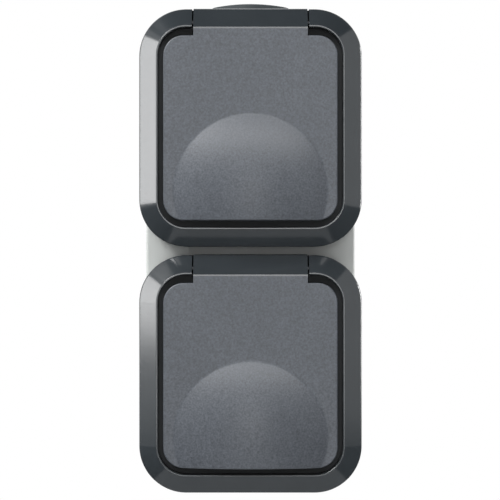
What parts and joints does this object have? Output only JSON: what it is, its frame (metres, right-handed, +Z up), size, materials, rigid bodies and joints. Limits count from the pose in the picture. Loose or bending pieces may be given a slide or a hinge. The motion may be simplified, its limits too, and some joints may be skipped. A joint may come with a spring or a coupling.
{
  "type": "outdoor weatherproof socket",
  "caption": "Vertical surface-mounted weatherproof earthed socket block with bevelled frames and sprung, hinged lids.",
  "frame": {"origin": "middle of the back face, on the wall", "axes": "+Z up, +X to the right seen from the front, +Y into the wall"},
  "size_m": [0.068, 0.0515, 0.152],
  "materials": {
    "box_grey": "satin moulded",
    "grommet_grey": "matte",
    "frame_anthracite": "glossy moulded",
    "lid_anthracite": "fine textured",
    "insert_anthracite": "satin moulded",
    "base_white": "matte",
    "seal_black": "matte",
    "steel": "zinc plated",
    "spring_steel": "drawn wire",
    "brass": "pressed",
    "plated_brass": "nickel plated"
  },
  "bodies": {
    "housing": {"wall_box": "box_grey", "cable_grommet_top": "grommet_grey", "cable_grommet_bottom": "grommet_grey", "box_seal_upper": "seal_black", "cover_frame_upper": "frame_anthracite", "hinge_pin_upper": "steel", "lid_spring_upper": "spring_steel", "socket_cup_upper": "insert_anthracite", "insert_base_upper": "base_white", "live_contact_upper": "brass", "neutral_contact_upper": "brass", "earth_clip_upper": "plated_brass", "cover_screws_upper": "steel", "insert_screws_upper": "steel", "terminal_screws_upper": "steel", "cup_screw_upper": "steel", "box_seal_lower": "seal_black", "cover_frame_lower": "frame_anthracite", "hinge_pin_lower": "steel", "lid_spring_lower": "spring_steel", "socket_cup_lower": "insert_anthracite", "insert_base_lower": "base_white", "live_contact_lower": "brass", "neutral_contact_lower": "brass", "earth_clip_lower": "plated_brass", "cover_screws_lower": "steel", "insert_screws_lower": "steel", "terminal_screws_lower": "steel", "cup_screw_lower": "steel"},
    "lid_upper": {"hinged_lid_upper": "lid_anthracite", "lid_seal_upper": "seal_black"},
    "lid_lower": {"hinged_lid_lower": "lid_anthracite", "lid_seal_lower": "seal_black"}
  },
  "joints": [
    {"name": "upper_lid_hinge", "type": "hinge", "parent": "housing", "child": "lid_upper", "pos_m": [0, -0.041, 0.06975], "axis": [-1, 0, 0], "range_deg": [0, 95], "stiffness_Nm_per_rad": 0.012, "springref_deg": -85.94, "deforming": ["lid_spring_upper"]},
    {"name": "lower_lid_hinge", "type": "hinge", "parent": "housing", "child": "lid_lower", "pos_m": [0, -0.041, -0.00545], "axis": [-1, 0, 0], "range_deg": [0, 95], "stiffness_Nm_per_rad": 0.012, "springref_deg": -85.94, "deforming": ["lid_spring_lower"]}
  ]
}
